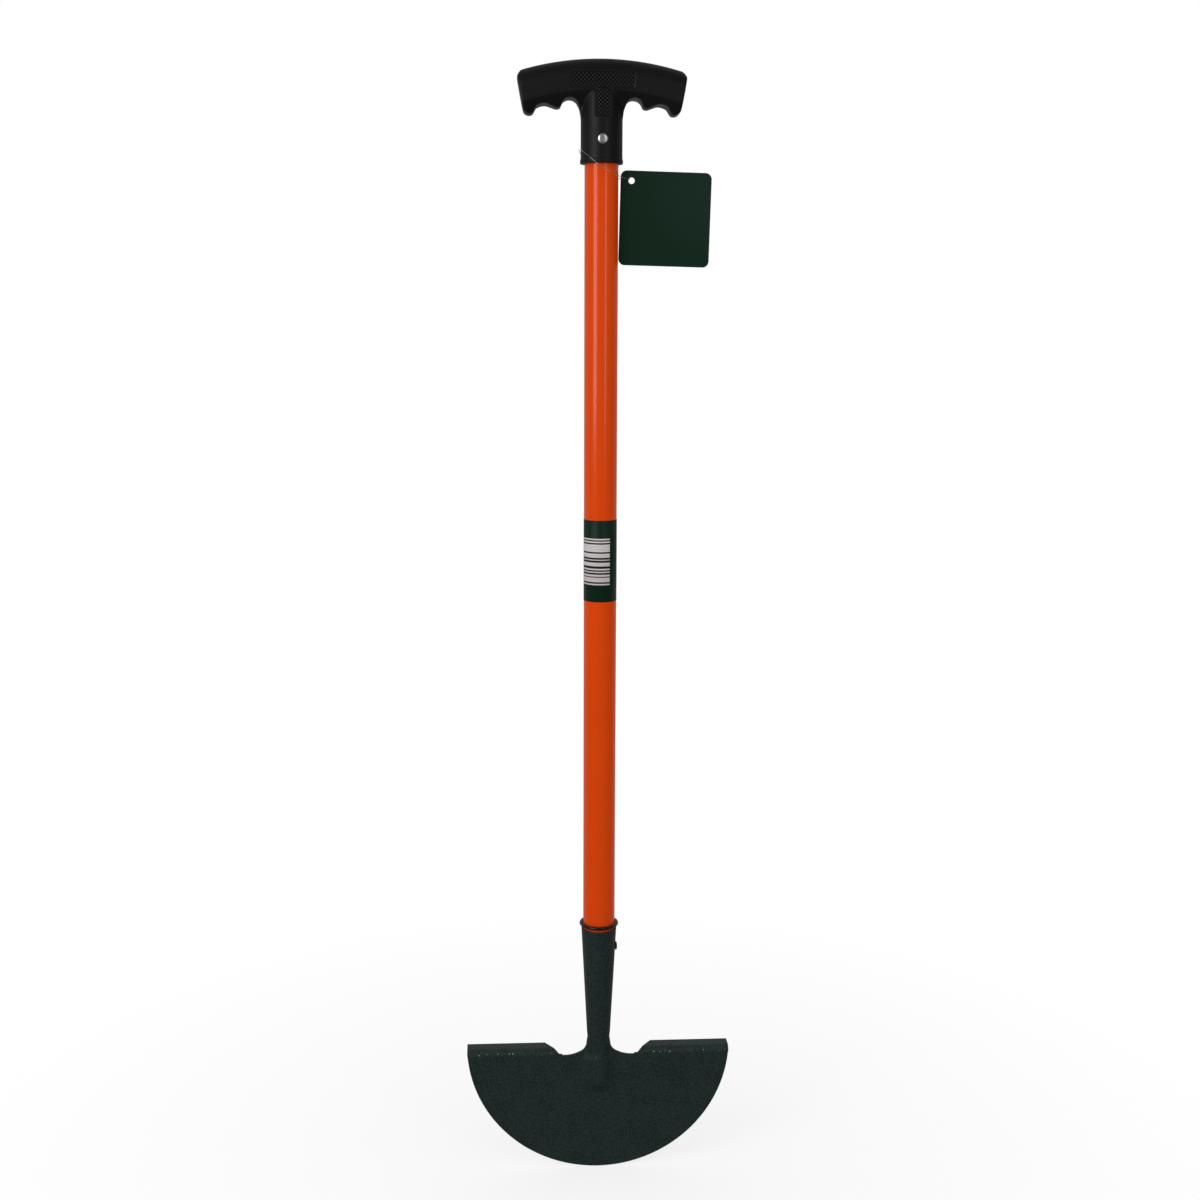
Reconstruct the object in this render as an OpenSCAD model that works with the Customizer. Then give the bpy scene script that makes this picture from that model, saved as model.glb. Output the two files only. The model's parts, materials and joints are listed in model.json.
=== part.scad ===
// Half moon edger: a half-round blade with folded treads, a tapered socket, a plastic
// covered tube shaft and a moulded T grip with a card tag tied below it.
// The shaft stands along +Z and the front faces -Y. The origin lies on the shaft's
// axis at the lowest point of the cutting edge. All sizes are in millimetres.

/* [Blade] */
// Radius of the round cutting edge
blade_r = 110; // [95:1:130]
// Thickness of the steel sheet
sheet_t = 2.5; // [2:0.1:3]
// Drop of the tread tops below the centre of the cutting edge
tread_drop = 4; // [0:0.5:10]
// Depth of a tread from the blade's front face to its back edge
tread_depth = 15; // [12:0.5:22]
// Outside radius of the fold between blade and tread
fold_r = 5.5; // [4:0.1:7]
// Slant of a tread's inner end over the depth of the tread
tread_slant = 10.8; // [4:0.1:16]
// Distance from the neck to the tread beside it
notch_w = 21.2; // [17:0.1:24]
// Radius of the sweep from the blade's shoulder up into the neck
notch_r = 9; // [7:0.5:11]
// Height of that sweep's centre above the tread tops
notch_rise = 5.9; // [5:0.1:9]
// Slope of the shoulder beside the neck, in degrees
shoulder_slope = 25; // [22:1:35]
// Sheet left beside the neck above the sweep
ear_w = 0.3; // [0.2:0.1:1.5]
// Height of the sheet inside the neck above the tread tops
sheet_rise = 11.3; // [10.5:0.1:11.4]
// Thickness left at the sharpened edge
edge_land = 0.8; // [0.4:0.1:1.5]
// Width of the bevel ground on the back of the edge
bevel_w = 3; // [1:0.5:6]

/* [Socket] */
// Wall of the tapered socket
socket_wall = 1.4; // [1:0.1:2]
// Outside diameter of the neck
neck_d = 19.4; // [18:0.1:21]
// Height of the neck's narrowest point above the tread tops
neck_rise = 16; // [14:0.5:22]
// Length of the tapered socket above the neck
taper_l = 92; // [80:1:110]
// Solid length at the bottom of the socket's bore
socket_floor = 5; // [3:1:10]
// Radius of the ball at the lower end of the ridge on the blade
ridge_r = 9; // [8:0.1:9.5]
// Drop of that ball's centre below the tread tops
ridge_drop = 28; // [20:1:40]
// Distance by which the ridge sinks towards the blade over its length
ridge_lean = 3.5; // [1:0.1:5]
// Width of the weld beside the ridge
weld_w = 1.6; // [0.5:0.1:2.5]
// Height of the weld on the blade
weld_h = 1.2; // [0.5:0.1:2]

/* [Shaft] */
// Outside diameter of the covered shaft
shaft_d = 26; // [24:0.5:28]
// Thickness of the plastic cover
sleeve_t = 0.5; // [0.3:0.1:1]
// Wall of the steel tube
tube_wall = 1.2; // [0.8:0.1:2]
// Length of shaft between socket and grip
exposed_l = 612; // [400:1:900]
// Length of shaft driven into the socket
socket_insert = 60; // [40:1:70]
// Length of shaft inside the grip
grip_insert = 42; // [34:1:44]
// Clearance between the shaft and what it is driven into
fit_gap = 0.1; // [0.05:0.05:0.3]

/* [Collar ring] */
// Thickness of the rubber ring
ring_d = 3.1; // [2:0.1:4]
// Stretch of the ring, which flattens its inside
ring_squeeze = 0.1; // [0.05:0.05:0.3]
// Shaft left bare between the ring and the socket
ring_gap = 1.9; // [0.5:0.1:6]

/* [Rivets] */
// Diameter of the rivet shanks
rivet_d = 4; // [3:0.1:5]
// Clearance round the shanks
rivet_gap = 0.05; // [0.05:0.05:0.2]
// Diameter of the mandrels left in the rivets
mandrel_d = 2.2; // [1.5:0.1:2.6]
// Height of the rivet heads
rivet_head_h = 1.5; // [1:0.1:2.5]
// Diameter of the socket rivet's head
socket_head_d = 7.1; // [6.4:0.1:9]
// Diameter of the grip rivet's head
grip_head_d = 8; // [6.4:0.1:10]
// Drop of the socket rivet below the socket's rim
socket_rivet_drop = 17; // [10:0.5:30]
// Height of the grip rivet above the grip's mouth
grip_rivet_rise = 17.4; // [15.5:0.1:24]

/* [Grip] */
// Overall width of the grip
grip_w = 128.4; // [124:0.2:150]
// Height of the grip from its mouth to its crown
grip_h = 77.2; // [75:0.2:80]
// Radius of the crown's arc
crown_r = 218; // [180:1:300]
// Thickness of the bar from front to back
bar_t = 28; // [24:0.5:30]
// Thickness of the bar along the finger edge
finger_t = 13; // [10:0.5:18]
// Slant of the grip's ends from upright, in degrees
end_slant = 10.5; // [6:0.5:14]
// Outside diameter of the grip's neck
grip_neck_d = 32; // [31:0.5:36]
// Outside diameter of the lip round the mouth
lip_d = 32.9; // [32.2:0.1:33]
// Height of that lip
lip_h = 3; // [2:0.5:5]
// Distance between the two finger grooves of one side
finger_pitch = 19.3; // [17:0.1:22]
// Depth of the knurled panel
panel_d = 0.8; // [0.4:0.1:1.2]
// Width of the panel's bar
panel_w = 48.6; // [30:0.2:60]
// Height of the panel's bar
panel_h = 12.1; // [8:0.1:14]
// Width of the panel's leg
panel_leg_w = 11; // [6:0.1:14]
// Height of the panel's leg
panel_leg_h = 20.5; // [10:0.5:22]
// Radius of the fillets between the panel's bar and leg
panel_fillet = 4.2; // [1:0.1:6]

/* [Label] */
// Height of the label wrapped round the shaft
label_h = 65; // [30:1:120]
// Thickness of the label
label_t = 0.15; // [0.1:0.05:0.3]
// Height of the label's lower edge above the socket's rim
label_rise = 275; // [20:1:400]

/* [Tag] */
// Width of the card tag
tag_w = 70; // [40:1:90]
// Height of the card tag
tag_h = 71; // [40:1:110]
// Thickness of the card
tag_t = 0.5; // [0.3:0.1:0.8]
// Radius of the card's corners
tag_corner = 4.8; // [4:0.1:6]
// Diameter of the punched hole
tag_hole_d = 4.8; // [4:0.1:5.4]
// Distance of the hole's centre from the card's side
tag_hole_side = 8.4; // [7.6:0.1:8.6]
// Distance of the hole's centre from the card's top
tag_hole_top = 7.6; // [5:0.1:8]
// Tilt of the hanging card, in degrees
tag_tilt = 1.4; // [0:0.1:1.8]
// Thickness of the nylon filament
loop_d = 0.5; // [0.4:0.1:0.9]
// Clearance between the filament and the hole's wall
hang_gap = 0.15; // [0.1:0.05:0.3]
// Width of the snap head that closes the filament loop
lock_w = 3.2; // [2.4:0.1:3.2]
// Thickness of the snap head
lock_t = 2; // [1.2:0.1:2.4]
// Height of the snap head
lock_h = 4; // [2:0.1:4]

/* [Hidden] */
$fn = 96;
// Overshoot of a cutting tool past the face that it cuts
eps = 1;

// Heights of the blade, from its lowest point up
tread_z = blade_r - tread_drop;
fold_z = tread_z - fold_r;
notch_z = tread_z + notch_rise;
sheet_top_z = tread_z + sheet_rise;
neck_z = tread_z + neck_rise;
ridge_z = tread_z - ridge_drop;
// Drop of the ridge's hidden top below the neck, and of the weld's top below the sheet's
ridge_top_drop = 4;
weld_top_drop = 5;
ridge_top_z = neck_z - ridge_top_drop;
weld_top_z = sheet_top_z - weld_top_drop;
rim_z = neck_z + taper_l;
mouth_z = rim_z + exposed_l;

// Sides of the blade
sheet_half = sheet_t / 2;
neck_r = neck_d / 2;
// How far the neck and the ridge's top draw in, to end inside each other
neck_draw = 4.5;
ridge_draw = 1;
neck_low_r = neck_r - neck_draw;
ridge_top_r = neck_r - ridge_draw;
notch_x = neck_r + ear_w + notch_r;
tread_in = neck_r + notch_w;
slant = tread_slant / tread_depth;
// Foot of the sweep beside the neck, and of the shoulder that slopes from there to the blade's top edge
sweep_x = notch_x - notch_r * sin(shoulder_slope);
sweep_z = notch_z - notch_r * cos(shoulder_slope);
shoulder_x = sweep_x + (sweep_z - fold_z) / tan(shoulder_slope);
tread_back = tread_depth - sheet_half;

// Radii of the shaft and of the socket that it is driven into
shaft_r = shaft_d / 2;
tube_r = shaft_r - sleeve_t;
bore_rim_r = shaft_r + fit_gap;
bore_neck_r = neck_r - socket_wall;
rim_r = bore_rim_r + socket_wall;
taper = (bore_rim_r - bore_neck_r) / taper_l;
shaft_low_z = rim_z - socket_insert;
shaft_top_z = mouth_z + grip_insert;
shaft_low_r = shaft_r - taper * socket_insert;

// Rivets
rivet_r = rivet_d / 2;
rivet_hole_r = rivet_r + rivet_gap;
bulb_r = rivet_r * 1.5;
bulb_l = 3;
mandrel_head_l = 1.4;
// Depth of a mandrel's broken end below the top of its rivet's head
mandrel_sink = 0.25;
socket_rivet_z = rim_z - socket_rivet_drop;
grip_rivet_z = mouth_z + grip_rivet_rise;
socket_seat_r = rim_r - taper * (socket_rivet_drop - socket_head_d / 2);
socket_inside_r = shaft_r - taper * (socket_rivet_drop + bulb_r) - sleeve_t - tube_wall;
grip_inside_r = tube_r - tube_wall;
grip_seat_r = grip_neck_d / 2;

// Grip, with heights counted from its mouth
bar_half = bar_t / 2;
finger_half = finger_t / 2;
bar_axis = crown_r - bar_half;
// Drops below the crown: shoulder and finger edge of the bar's section, and its foot
shoulder_drop = 24;
finger_drop = 35;
tip_drop = 50;
// Drops below the crown: foot of the bar's outline, tips, bumps, groove tops and panel top
base_drop = 35.4;
lobe_drop = 36.7;
bump_drop = 36.9;
outer_groove_drop = 33.9;
inner_groove_drop = 29.4;
panel_drop = 10.9;
// Radii of the tips, bumps and finger grooves, and the cut at the crown's corners
lobe_r = 5;
bump_r = 5.5;
outer_groove_r = 8.2;
inner_groove_r = 6.5;
corner_cut = 4;
// Distance from a tip to the groove beside it
lobe_pitch = 11.2;
end_h = grip_h - bar_half;
base_h = grip_h - base_drop;
lobe_h = grip_h - lobe_drop;
lobe_x = grip_w / 2 - (end_h - lobe_h) * tan(end_slant) - lobe_r;
outer_groove_x = lobe_x - lobe_pitch;
outer_groove_h = grip_h - outer_groove_drop - outer_groove_r;
inner_groove_x = outer_groove_x - finger_pitch;
inner_groove_h = grip_h - inner_groove_drop - inner_groove_r;
bump_x = outer_groove_x - finger_pitch / 2;
bump_h = grip_h - bump_drop + bump_r;
panel_top = grip_h - panel_drop;
// The neck stays round up in front of the finger grooves, then draws in to end inside the bar
neck_drop = 27;
neck_cone_l = 9;
neck_cone_inset = 0.6;
grip_neck_l = grip_h - neck_drop;
neck_cone_r = bar_half - neck_cone_inset;
// Foot of the web where the grooves flow down into the neck
web_drop = 44;
web_low = grip_h - web_drop;

// Filament route: x, y, and height above the grip's mouth, from the snap head round
// the front, through the card's hole and back round behind the shaft
LOOP_ROUTE = [
    [-1.6, 17.9, -2.2], [-6.6, 15.9, 0.8], [-12.1, 12.1, 4.8], [-15.7, 6.5, 8.2], [-17, 0, 10.2],
    [-15.7, -6.5, 9.6], [-12.1, -12.1, 6.2], [-6.6, -15.9, 1.2], [-1.5, -17.2, -2.5], [3, -17, -5.4],
    [7.8, -15.4, -7.7], [12.8, -12.2, -9.5], [17, -8, -10.5], [20.4, -3.6, -10.8], [21.6, -1.2, -10.7],
    [21.6, 1.2, -10.7], [20.4, 3.6, -10.7], [17, 8, -10.2], [12.8, 12.2, -9], [7.8, 15.4, -7],
    [1.6, 17.9, -3.8]];
loop_sides = 8;
loop_steps = 3;
loop_r = loop_d / 2;
// Where the filament crosses the card
hang_x = 21.6;
hang_h = -10.7;
// Direction from the hole's centre to the filament, in degrees
hang_angle = 141;
hang_reach = tag_hole_d / 2 - loop_r - hang_gap;
lock_y = 17.9;
lock_drop = 3;

// Point of a smooth curve through the route, t of the way from point i to the next
function route_point(i) = LOOP_ROUTE[max(0, min(len(LOOP_ROUTE) - 1, i))];
function curve(a, b, c, d, t) =
    0.5 * (2 * b + (c - a) * t + (2 * a - 5 * b + 4 * c - d) * t * t
           + (3 * b - a - 3 * c + d) * t * t * t);
function loop_points() =
    [for (i = [0 : len(LOOP_ROUTE) - 2], s = [0 : loop_steps - 1])
        curve(route_point(i - 1), route_point(i), route_point(i + 1), route_point(i + 2), s / loop_steps),
     LOOP_ROUTE[len(LOOP_ROUTE) - 1]];
function unit(v) = v / norm(v);
function heading(p, i) = unit(p[min(i + 1, len(p) - 1)] - p[max(i - 1, 0)]);
// Ring of points round point i of the filament
function loop_ring(p, i) =
    let (along = heading(p, i), side = unit(cross([0, 0, 1], along)), up = cross(along, side))
    [for (k = [0 : loop_sides - 1])
        p[i] + loop_r * (cos(360 * k / loop_sides) * side + sin(360 * k / loop_sides) * up)];

// Half of the head on one side of the blade: side is -1 for the front and 1 for the back
module half_space(side, clear) {
    big = 2 * blade_r;
    translate([-big / 2, side > 0 ? clear : -clear - big, 0])
        cube([big, big, 2 * big]);
}

// Ridge that runs down inside the neck and sinks into the blade, grown all round by extra
module ridge(side, extra) {
    low_y = -side * ridge_lean;
    run = ridge_top_z - ridge_z;
    length = norm([low_y, run]);
    translate([0, 0, ridge_top_z])
        rotate([180 + atan2(low_y, run), 0, 0])
            rotate_extrude() {
                polygon([[0, 0], [ridge_top_r + extra, 0], [ridge_r + extra, length], [0, length]]);
                intersection() {
                    translate([0, length])
                        circle(r = ridge_r + extra);
                    translate([0, length])
                        square(2 * ridge_r);
                }
            }
}

// Lower part of the neck, which tapers off inside the ridge
module neck_cone() {
    translate([0, 0, ridge_z])
        cylinder(h = neck_z - ridge_z, r1 = neck_low_r, r2 = neck_r);
}

// Section of a tread: the fold, the flat behind it, and a root of blade below it
module tread_section(root) {
    centre_y = fold_r - sheet_half;
    if (root > 0)
        translate([-sheet_half, fold_z - root])
            square([sheet_t, root]);
    intersection() {
        difference() {
            translate([centre_y, fold_z])
                circle(r = fold_r);
            translate([centre_y, fold_z])
                circle(r = fold_r - sheet_t);
        }
        translate([centre_y - fold_r, fold_z])
            square(fold_r);
    }
    translate([centre_y, tread_z - sheet_t])
        square([tread_back - centre_y, sheet_t]);
}

// Stretch of the tread on the +X side, out to one end
module tread_part(root, outer_x) {
    intersection() {
        rotate([90, 0, 90])
            linear_extrude(outer_x)
                tread_section(root);
        multmatrix([[1, 0, slant, -slant * fold_z], [0, 1, 0, 0], [0, 0, 1, 0]])
            linear_extrude(tread_z + eps)
                polygon([[tread_in, -sheet_half], [tread_in + tread_slant, tread_back],
                         [3 * blade_r, tread_back], [3 * blade_r, -sheet_half]]);
    }
}

// Tread on the +X side: it reaches past the bevelled edge, but only the sheet inside that is its root
module tread() {
    tread_part(0, blade_r);
    tread_part(fold_r, blade_r - 2 * bevel_w);
}

// Middle of the blade above its top edge: sloping shoulders that sweep up into the neck
module neck_outline() {
    half = [[0, fold_z - sheet_t], [shoulder_x, fold_z - sheet_t], [shoulder_x, fold_z],
            for (a = [90 - shoulder_slope : -5 : 0])
                [notch_x - notch_r * cos(a), notch_z - notch_r * sin(a)],
            [neck_r + ear_w, sheet_top_z], [0, sheet_top_z]];
    for (side = [0, 1])
        mirror([side, 0])
            polygon(half);
}

module blade() {
    color("#24302E") {
        intersection() {
            translate([0, -sheet_half, blade_r])
                rotate([-90, 0, 0]) {
                    cylinder(h = edge_land, r = blade_r, $fn = 180);
                    translate([0, 0, edge_land])
                        cylinder(h = sheet_t - edge_land, r1 = blade_r, r2 = blade_r - bevel_w, $fn = 180);
                }
            translate([-blade_r - eps, -blade_r, 0])
                cube([2 * (blade_r + eps), 2 * blade_r, fold_z]);
        }
        translate([0, sheet_half, 0])
            rotate([90, 0, 0])
                linear_extrude(sheet_t)
                    neck_outline();
        tread();
        mirror([1, 0, 0])
            tread();
    }
}

module socket() {
    bore_low_z = neck_z + socket_floor;
    color("#24302E")
        difference() {
            union() {
                translate([0, 0, neck_z])
                    cylinder(h = taper_l, r1 = neck_r, r2 = rim_r);
                neck_cone();
                for (side = [-1, 1])
                    intersection() {
                        ridge(side, 0);
                        half_space(side, 0);
                    }
            }
            translate([0, 0, bore_low_z])
                cylinder(h = rim_z - bore_low_z + eps,
                         r1 = bore_neck_r + taper * socket_floor, r2 = bore_rim_r + taper * eps);
            translate([-blade_r, -sheet_half, 0])
                cube([2 * blade_r, sheet_t, sheet_top_z]);
            translate([0, 0, socket_rivet_z])
                rotate([0, 90, 0])
                    cylinder(h = 2 * rim_r, r = rivet_hole_r);
        }
}

module weld_bead() {
    color("#24302E")
        for (side = [-1, 1])
            difference() {
                intersection() {
                    ridge(side, weld_w);
                    translate([-blade_r, side > 0 ? sheet_half : -sheet_half - weld_h, 0])
                        cube([2 * blade_r, weld_h, weld_top_z]);
                }
                ridge(side, 0);
            }
}

// Turned wall of the shaft between two radii, drawn in to the socket's taper at its end
module shaft_wall(outer_r, inner_r) {
    outer_low_r = shaft_low_r - (shaft_r - outer_r);
    inner_low_r = shaft_low_r - (shaft_r - inner_r);
    rotate_extrude()
        polygon([[inner_r, shaft_top_z], [outer_r, shaft_top_z], [outer_r, rim_z],
                 [outer_low_r, shaft_low_z], [inner_low_r, shaft_low_z], [inner_r, rim_z]]);
}

// Holes through the shaft for both rivets
module shaft_rivet_holes() {
    translate([0, 0, socket_rivet_z])
        rotate([0, 90, 0])
            cylinder(h = shaft_d, r = rivet_hole_r);
    translate([0, 0, grip_rivet_z])
        rotate([90, 0, 0])
            cylinder(h = shaft_d, r = rivet_hole_r);
}

module shaft_tube() {
    color("#8C8F92")
        difference() {
            shaft_wall(tube_r, tube_r - tube_wall);
            shaft_rivet_holes();
        }
}

module shaft_sleeve() {
    color("#D2440A")
        difference() {
            shaft_wall(shaft_r, tube_r);
            shaft_rivet_holes();
        }
}

module collar_ring() {
    centre_r = shaft_r + ring_d / 2 - ring_squeeze;
    color("#17181A")
        translate([0, 0, rim_z + ring_gap + ring_d / 2])
            rotate_extrude()
                intersection() {
                    translate([centre_r, 0])
                        circle(d = ring_d, $fn = 48);
                    translate([shaft_r, -ring_d])
                        square(2 * ring_d);
                }
}

// Blind rivet along +Z: its head sits on seat, and its bulb swells behind inside
module blind_rivet(seat, inside, head_d) {
    difference() {
        union() {
            translate([0, 0, inside - bulb_l])
                cylinder(h = seat + rivet_head_h / 2 - inside + bulb_l, r = rivet_r);
            translate([0, 0, inside - bulb_l])
                cylinder(h = bulb_l, r = bulb_r);
            translate([0, 0, seat])
                intersection() {
                    dome_r = (pow(head_d / 2, 2) + pow(rivet_head_h, 2)) / (2 * rivet_head_h);
                    translate([0, 0, rivet_head_h - dome_r])
                        sphere(r = dome_r);
                    cylinder(h = rivet_head_h, d = head_d);
                }
        }
        translate([0, 0, inside - bulb_l - eps])
            cylinder(h = seat + rivet_head_h - inside + bulb_l + 2 * eps, d = mandrel_d);
    }
}

// Mandrel left in a blind rivet, broken off a little below the top of the head
module mandrel(seat, inside) {
    translate([0, 0, inside - bulb_l])
        cylinder(h = seat + rivet_head_h - mandrel_sink - inside + bulb_l, d = mandrel_d);
    translate([0, 0, inside - bulb_l - mandrel_head_l])
        cylinder(h = mandrel_head_l, r = rivet_r);
}

module at_socket_rivet() {
    translate([0, 0, socket_rivet_z])
        rotate([0, 90, 0])
            children();
}

module at_grip_rivet() {
    translate([0, 0, grip_rivet_z])
        rotate([90, 0, 0])
            children();
}

// Depth inside the tube at which a flat bulb meets the round wall
function bulb_seat(wall_r) = sqrt(pow(wall_r, 2) - pow(bulb_r, 2));

module socket_rivet() {
    color("#3A3F3E")
        at_socket_rivet()
            blind_rivet(socket_seat_r, bulb_seat(socket_inside_r), socket_head_d);
}

module socket_rivet_mandrel() {
    color("#7E8386")
        at_socket_rivet()
            mandrel(socket_seat_r, bulb_seat(socket_inside_r));
}

module grip_rivet() {
    color("#C9CDD0")
        at_grip_rivet()
            blind_rivet(grip_seat_r, bulb_seat(grip_inside_r), grip_head_d);
}

module grip_rivet_mandrel() {
    color("#7E8386")
        at_grip_rivet()
            mandrel(grip_seat_r, bulb_seat(grip_inside_r));
}

// Section of the grip's bar, drawn by radius and thickness, thinner by inset all round
module bar_section(inset) {
    half = bar_half - inset;
    translate([bar_axis, 0])
        circle(r = half);
    for (side = [-1, 1])
        polygon([[bar_axis, 0], [bar_axis, side * half],
                 [crown_r - shoulder_drop, side * half],
                 [crown_r - finger_drop, side * (finger_half - inset)],
                 [crown_r - tip_drop, side * (finger_half - inset)],
                 [crown_r - tip_drop, 0]]);
}

// Bar of the grip as an arc, and the round neck below it
module grip_bar(inset) {
    half_angle = asin(grip_w / 2 / (crown_r - tip_drop)) + 1;
    translate([0, 0, grip_h - crown_r])
        rotate([90, 0, 0])
            rotate([0, 0, 90 - half_angle])
                rotate_extrude(angle = 2 * half_angle, $fn = 360)
                    bar_section(inset);
}

module grip_neck(inset) {
    cylinder(h = grip_neck_l, d = grip_neck_d - 2 * inset);
    translate([0, 0, grip_neck_l])
        cylinder(h = neck_cone_l, r1 = grip_neck_d / 2 - inset, r2 = neck_cone_r - inset);
}

// Side of a finger groove towards the neck, drawn out so that it flows down into it
module neck_sweep(side) {
    reach = inner_groove_x - grip_neck_d / 2;
    rise = inner_groove_h + inner_groove_r - web_low;
    translate([side * inner_groove_x, web_low])
        intersection() {
            scale([reach, rise])
                circle(r = 1);
            translate([side > 0 ? -reach : 0, -eps])
                square([reach, rise + 2 * eps]);
        }
}

// Outline of the bar from the front: crown, slanted ends, tips and finger grooves
module bar_outline() {
    half = grip_w / 2;
    difference() {
        union() {
            intersection() {
                translate([0, grip_h - crown_r])
                    circle(r = crown_r, $fn = 720);
                polygon([for (side = [1, -1], p = side > 0
                    ? [[0, base_h], [lobe_x, base_h], [lobe_x, lobe_h], [lobe_x + lobe_r, lobe_h],
                       [half, end_h], [half - corner_cut / 2, end_h + corner_cut], [half - 2 * corner_cut, grip_h]]
                    : [[-half + 2 * corner_cut, grip_h], [-half + corner_cut / 2, end_h + corner_cut],
                       [-half, end_h], [-lobe_x - lobe_r, lobe_h], [-lobe_x, lobe_h], [-lobe_x, base_h]]) p]);
            }
            for (side = [-1, 1]) {
                translate([side * lobe_x, lobe_h])
                    circle(r = lobe_r);
                translate([side * bump_x, bump_h])
                    circle(r = bump_r);
            }
            translate([-inner_groove_x, web_low])
                square([2 * inner_groove_x, base_h - web_low]);
        }
        for (side = [-1, 1]) {
            translate([side * outer_groove_x, outer_groove_h])
                circle(r = outer_groove_r);
            translate([side * inner_groove_x, inner_groove_h])
                circle(r = inner_groove_r);
            neck_sweep(side);
        }
    }
}

// T-shaped outline of the knurled panel
module panel_outline() {
    panel_low = panel_top - panel_h;
    fillet_out = panel_leg_w / 2 + panel_fillet;
    translate([-panel_w / 2, panel_low])
        square([panel_w, panel_h]);
    translate([-panel_leg_w / 2, panel_low - panel_leg_h])
        square([panel_leg_w, panel_leg_h + eps]);
    difference() {
        translate([-fillet_out, panel_low - panel_fillet])
            square([2 * fillet_out, panel_fillet + eps]);
        for (side = [-1, 1])
            translate([side * fillet_out, panel_low - panel_fillet])
                circle(r = panel_fillet);
    }
}

// Upright plate of an outline, right through the grip
module through_grip() {
    depth = 2 * grip_neck_d;
    translate([0, depth / 2, 0])
        rotate([90, 0, 0])
            linear_extrude(depth)
                children();
}

module grip() {
    color("#141416")
        translate([0, 0, mouth_z])
            difference() {
                union() {
                    intersection() {
                        grip_bar(0);
                        through_grip()
                            bar_outline();
                    }
                    grip_neck(0);
                    cylinder(h = lip_h, d = lip_d);
                }
                difference() {
                    through_grip()
                        panel_outline();
                    grip_bar(panel_d);
                    grip_neck(panel_d);
                }
                translate([0, 0, -eps])
                    cylinder(h = grip_insert + eps, r = shaft_r + fit_gap);
                translate([0, 0, grip_rivet_rise])
                    rotate([90, 0, 0])
                        cylinder(h = grip_neck_d, r = rivet_hole_r);
            }
}

module wrap_label() {
    color("#0E2318")
        translate([0, 0, rim_z + label_rise])
            difference() {
                cylinder(h = label_h, r = shaft_r + label_t);
                translate([0, 0, -eps])
                    cylinder(h = label_h + 2 * eps, r = shaft_r);
            }
}

// Card outline with its hole at the origin
module tag_outline() {
    low = tag_hole_top - tag_h;
    difference() {
        union() {
            translate([-tag_hole_side + tag_corner, low])
                square([tag_w - 2 * tag_corner, tag_h]);
            translate([-tag_hole_side, low + tag_corner])
                square([tag_w, tag_h - 2 * tag_corner]);
            for (x = [tag_corner, tag_w - tag_corner], y = [tag_corner, tag_h - tag_corner])
                translate([x - tag_hole_side, y + low])
                    circle(r = tag_corner, $fn = 48);
        }
        circle(d = tag_hole_d, $fn = 48);
    }
}

module hang_tag() {
    color("#0E2318")
        translate([hang_x, tag_t / 2, mouth_z + hang_h])
            rotate([90, tag_tilt, 0])
                translate([-hang_reach * cos(hang_angle), -hang_reach * sin(hang_angle), 0])
                    linear_extrude(tag_t)
                        tag_outline();
}

module tag_loop() {
    path = loop_points();
    rings = [for (i = [0 : len(path) - 1]) loop_ring(path, i)];
    count = len(rings);
    n = loop_sides;
    sides = [for (i = [0 : count - 2], k = [0 : n - 1], half = [0, 1])
        half == 0
            ? [i * n + k, i * n + (k + 1) % n, (i + 1) * n + k]
            : [i * n + (k + 1) % n, (i + 1) * n + (k + 1) % n, (i + 1) * n + k]];
    first_cap = [[for (k = [0 : n - 1]) n - 1 - k]];
    last_cap = [[for (k = [0 : n - 1]) (count - 1) * n + k]];
    color("#D8DAD6")
        translate([0, 0, mouth_z])
            polyhedron(points = [for (ring = rings, p = ring) p], faces = concat(sides, first_cap, last_cap));
}

module loop_lock() {
    color("#D8DAD6")
        translate([-lock_w / 2, lock_y - lock_t / 2, mouth_z - lock_drop - lock_h / 2])
            cube([lock_w, lock_t, lock_h]);
}

blade();
socket();
weld_bead();
shaft_tube();
shaft_sleeve();
collar_ring();
socket_rivet();
socket_rivet_mandrel();
grip();
grip_rivet();
grip_rivet_mandrel();
wrap_label();
hang_tag();
tag_loop();
loop_lock();
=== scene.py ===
import json
import math

import bmesh
import bpy
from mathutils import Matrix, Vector


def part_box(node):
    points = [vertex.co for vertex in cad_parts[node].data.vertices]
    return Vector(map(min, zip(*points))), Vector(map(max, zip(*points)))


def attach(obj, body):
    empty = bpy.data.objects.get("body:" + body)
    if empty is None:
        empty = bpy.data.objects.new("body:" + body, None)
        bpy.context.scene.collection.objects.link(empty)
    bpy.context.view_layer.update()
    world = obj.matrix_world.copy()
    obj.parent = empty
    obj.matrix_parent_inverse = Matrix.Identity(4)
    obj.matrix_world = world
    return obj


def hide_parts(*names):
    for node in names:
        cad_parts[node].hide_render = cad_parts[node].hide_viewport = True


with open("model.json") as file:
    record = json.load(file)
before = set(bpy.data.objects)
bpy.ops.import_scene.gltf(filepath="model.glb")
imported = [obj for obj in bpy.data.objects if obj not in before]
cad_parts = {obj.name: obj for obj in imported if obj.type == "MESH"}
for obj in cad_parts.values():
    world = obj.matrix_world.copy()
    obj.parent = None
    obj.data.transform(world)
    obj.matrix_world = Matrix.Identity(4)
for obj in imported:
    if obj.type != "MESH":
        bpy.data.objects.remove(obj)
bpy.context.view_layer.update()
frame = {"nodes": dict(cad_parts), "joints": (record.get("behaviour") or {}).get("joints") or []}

bl_info = {
    "name": "Half moon edger",
    "version": (1, 0, 0),
    "blender": (4, 5, 0),
    "location": "View3D > Sidebar > Edger",
    "description": "Finished pieces, materials and a studio for the half moon edger",
    "category": "Object",
}

MM = 0.001
NODES = frame["nodes"]

# Selecting by place: within NEAR a point counts as on a line, and past CLEAR as off it
NEAR = 0.01 * MM
CLEAR = 0.1 * MM
MERGE = 0.002 * MM

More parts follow.
